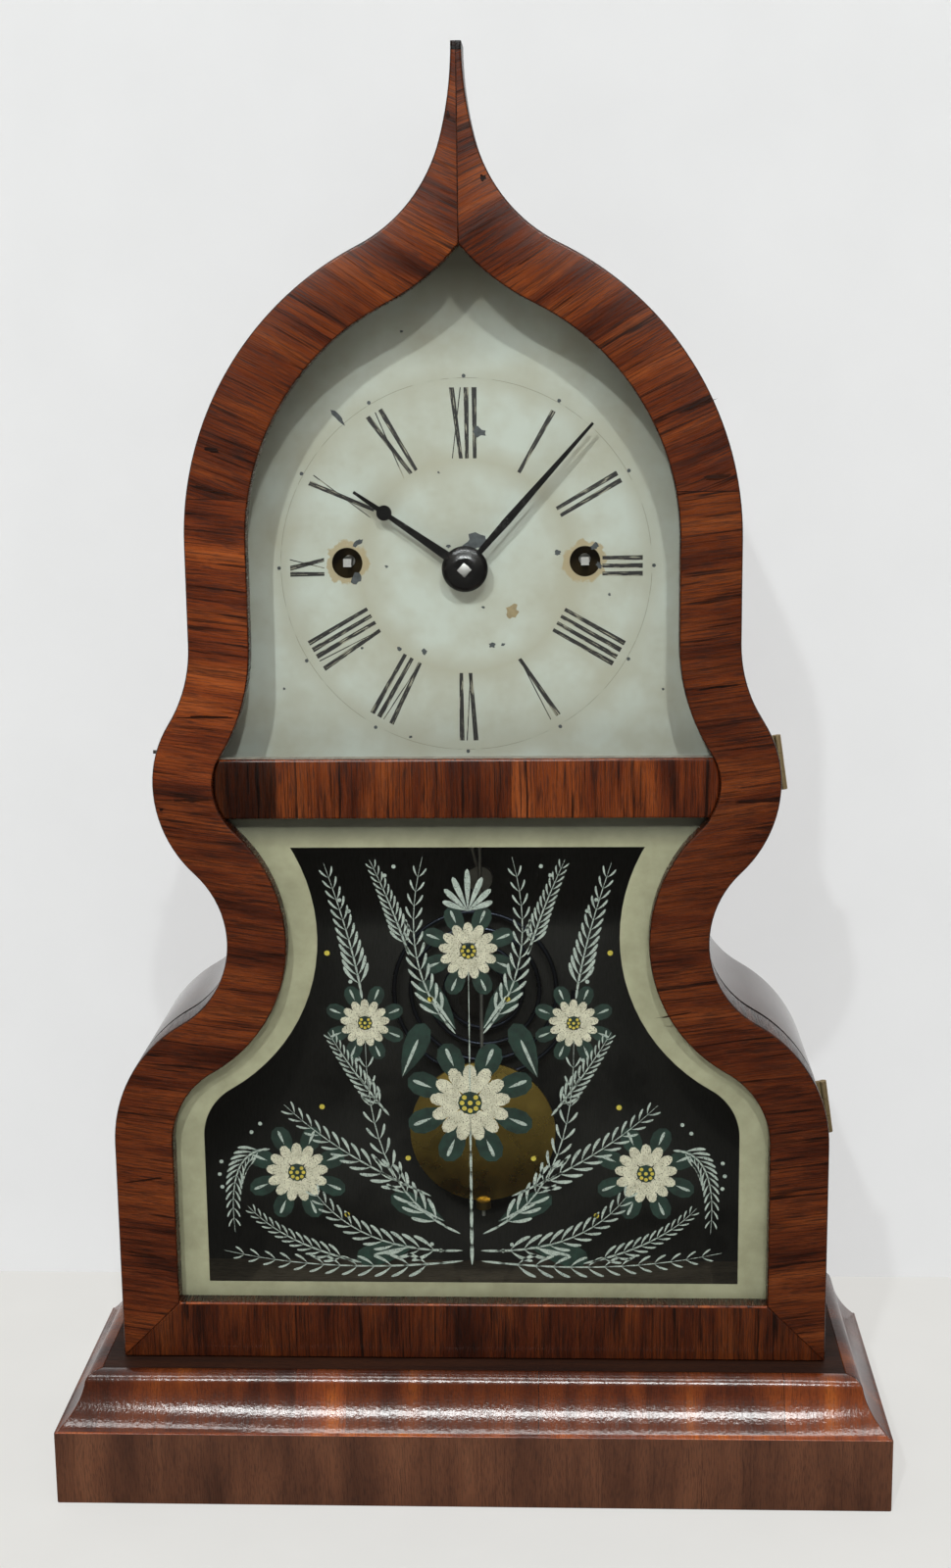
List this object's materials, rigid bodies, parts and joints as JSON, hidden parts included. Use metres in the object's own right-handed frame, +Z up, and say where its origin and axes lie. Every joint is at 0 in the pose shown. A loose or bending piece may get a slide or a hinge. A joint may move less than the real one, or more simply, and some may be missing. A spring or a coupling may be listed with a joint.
{
  "type": "shelf clock",
  "caption": "Acorn-shaped bentwood shelf clock on a moulded base: hinged door with dial glass and painted lower glass, spring-driven movement with striking train and pendulum.",
  "frame": {"origin": "middle of the base's underside", "axes": "+Z up, the dial faces -Y, +X to the right as seen from the front"},
  "size_m": [0.369, 0.126, 0.622],
  "materials": {
    "rosewood": "polished cross-banded veneer",
    "bentwood": "polished veneer",
    "mahogany": "polished veneer",
    "pine": "bare, darkened with age",
    "clear_glass": "clear",
    "painted_glass": "clear with a painted border and flowers behind",
    "painted_zinc": "aged off-white paint",
    "black_steel": "blackened",
    "brass": "lacquered, slightly tarnished",
    "steel": "plain",
    "blue_steel": "tempered",
    "iron": "japanned"
  },
  "bodies": {
    "case": {"case_left_side": "bentwood", "case_right_side": "bentwood", "base_front_moulding": "mahogany", "base_left_moulding": "mahogany", "base_right_moulding": "mahogany", "base_core": "pine", "back_board": "pine", "case_floor": "pine", "dial_cleats": "pine", "movement_battens": "pine", "dial": "painted_zinc", "hinge_case_leaves": "brass", "front_plate": "brass", "back_plate": "brass", "suspension_cock": "brass", "hinge_pins": "steel", "latch_screw": "steel", "dial_screws": "steel", "pillars": "steel", "movement_screws": "steel", "motion_stud": "steel", "time_mainspring": "blue_steel", "strike_mainspring": "blue_steel", "gong": "blue_steel", "gong_block": "iron"},
    "door": {"door_left_stile": "rosewood", "door_right_stile": "rosewood", "door_bottom_rail": "rosewood", "door_mid_rail": "rosewood", "tablet_glass": "painted_glass", "dial_glass": "clear_glass", "latch_pin": "steel", "hinge_door_leaves": "brass"},
    "latch": {"latch_hook": "brass"},
    "center": {"center_wheel": "brass", "center_arbor": "steel", "cannon_pinion": "brass", "minute_hand": "black_steel", "hand_collet": "black_steel"},
    "hour": {"hour_wheel": "brass", "hour_hand": "black_steel"},
    "minute_wheel": {"minute_wheel": "brass"},
    "time_second": {"time_second_wheel": "brass"},
    "time_great": {"time_great_wheel": "brass"},
    "third": {"third_wheel": "brass"},
    "escape": {"escape_wheel": "brass"},
    "time_winding": {"time_winding_arbor": "steel"},
    "time_click": {"time_click": "steel"},
    "strike_third": {"strike_third_wheel": "brass"},
    "strike_second": {"strike_second_wheel": "brass"},
    "strike_great": {"strike_great_wheel": "brass"},
    "fly": {"fly": "brass"},
    "strike_winding": {"strike_winding_arbor": "steel"},
    "strike_click": {"strike_click": "steel"},
    "hammer": {"hammer": "steel"},
    "pendulum": {"suspension_spring": "steel", "pendulum_rod": "steel"},
    "bob": {"pendulum_bob": "brass", "rating_nut": "brass"},
    "verge": {"verge": "steel"}
  },
  "joints": [
    {"name": "door_hinge", "type": "hinge", "parent": "case", "child": "door", "pos_m": [0.13547, -0.0103, 0.32734], "axis": [-0.1445, 0, 0.9895], "range_deg": [0, 110]},
    {"name": "latch_turn", "type": "hinge", "parent": "case", "child": "latch", "pos_m": [-0.1342, 0.006, 0.332], "axis": [1, 0, 0], "range_deg": [0, 270]},
    {"name": "hands_turn", "type": "hinge", "parent": "case", "child": "center", "pos_m": [0, 0, 0.4096], "axis": [0, 1, 0], "continuous": true},
    {"name": "hour_turn", "type": "hinge", "parent": "case", "child": "hour", "pos_m": [0, 0, 0.4096], "axis": [0, 1, 0], "continuous": true},
    {"name": "minute_wheel_turn", "type": "hinge", "parent": "case", "child": "minute_wheel", "pos_m": [-0.01358, 0, 0.39602], "axis": [0, 1, 0], "continuous": true},
    {"name": "time_second_turn", "type": "hinge", "parent": "case", "child": "time_second", "pos_m": [0.01901, 0, 0.39519], "axis": [0, 1, 0], "continuous": true},
    {"name": "time_great_turn", "type": "hinge", "parent": "case", "child": "time_great", "pos_m": [0.0515, 0, 0.4116], "axis": [0, 1, 0], "continuous": true},
    {"name": "third_turn", "type": "hinge", "parent": "case", "child": "third", "pos_m": [0.0123, 0, 0.42951], "axis": [0, 1, 0], "continuous": true},
    {"name": "escape_turn", "type": "hinge", "parent": "case", "child": "escape", "pos_m": [0.003, 0, 0.44896], "axis": [0, 1, 0], "continuous": true},
    {"name": "time_winding_turn", "type": "hinge", "parent": "time_great", "child": "time_winding", "pos_m": [0.0515, 0, 0.4116], "axis": [0, 1, 0], "continuous": true},
    {"name": "time_click_lift", "type": "hinge", "parent": "time_great", "child": "time_click", "pos_m": [0.06206, 0, 0.4116], "axis": [0, 1, 0], "range_deg": [0, 20], "stiffness_Nm_per_rad": 0.001, "springref_deg": -5.73},
    {"name": "strike_third_turn", "type": "hinge", "parent": "case", "child": "strike_third", "pos_m": [-0.00283, 0, 0.37931], "axis": [0, 1, 0], "continuous": true},
    {"name": "strike_second_turn", "type": "hinge", "parent": "case", "child": "strike_second", "pos_m": [-0.0281, 0, 0.38372], "axis": [0, 1, 0], "continuous": true},
    {"name": "strike_great_turn", "type": "hinge", "parent": "case", "child": "strike_great", "pos_m": [-0.0515, 0, 0.4116], "axis": [0, 1, 0], "continuous": true},
    {"name": "fly_turn", "type": "hinge", "parent": "case", "child": "fly", "pos_m": [0.00431, 0, 0.35969], "axis": [0, 1, 0], "continuous": true},
    {"name": "strike_winding_turn", "type": "hinge", "parent": "strike_great", "child": "strike_winding", "pos_m": [-0.0515, 0, 0.4116], "axis": [0, 1, 0], "continuous": true},
    {"name": "strike_click_lift", "type": "hinge", "parent": "strike_great", "child": "strike_click", "pos_m": [-0.04094, 0, 0.4116], "axis": [0, 1, 0], "range_deg": [0, 20], "stiffness_Nm_per_rad": 0.001, "springref_deg": -5.73},
    {"name": "hammer_swing", "type": "hinge", "parent": "case", "child": "hammer", "pos_m": [-0.02, 0, 0.3496], "axis": [0, -1, 0], "range_deg": [0, 15]},
    {"name": "pendulum_swing", "type": "hinge", "parent": "case", "child": "pendulum", "pos_m": [0.003, 0.038, 0.4672], "axis": [0, 1, 0], "range_deg": [-3, 3]},
    {"name": "bob_slide", "type": "slide", "parent": "pendulum", "child": "bob", "axis": [0, 0, 1], "range_m": [-0.004, 0.004]},
    {"name": "verge_rock", "type": "hinge", "parent": "case", "child": "verge", "pos_m": [0.003, 0, 0.4672], "axis": [0, 1, 0], "range_deg": [-3, 3]}
  ],
  "couplings": [
    {"joint": "hour_turn", "follows": "hands_turn", "ratio": 0.083333},
    {"joint": "minute_wheel_turn", "follows": "hands_turn", "ratio": -0.33333},
    {"joint": "time_second_turn", "follows": "hands_turn", "ratio": -0.25},
    {"joint": "time_great_turn", "follows": "hands_turn", "ratio": 0.041667},
    {"joint": "third_turn", "follows": "hands_turn", "ratio": -9},
    {"joint": "escape_turn", "follows": "hands_turn", "ratio": 75},
    {"joint": "strike_second_turn", "follows": "strike_third_turn", "ratio": -0.125},
    {"joint": "strike_great_turn", "follows": "strike_third_turn", "ratio": 0.020833},
    {"joint": "fly_turn", "follows": "strike_third_turn", "ratio": -7},
    {"joint": "verge_rock", "follows": "pendulum_swing", "ratio": 1}
  ]
}
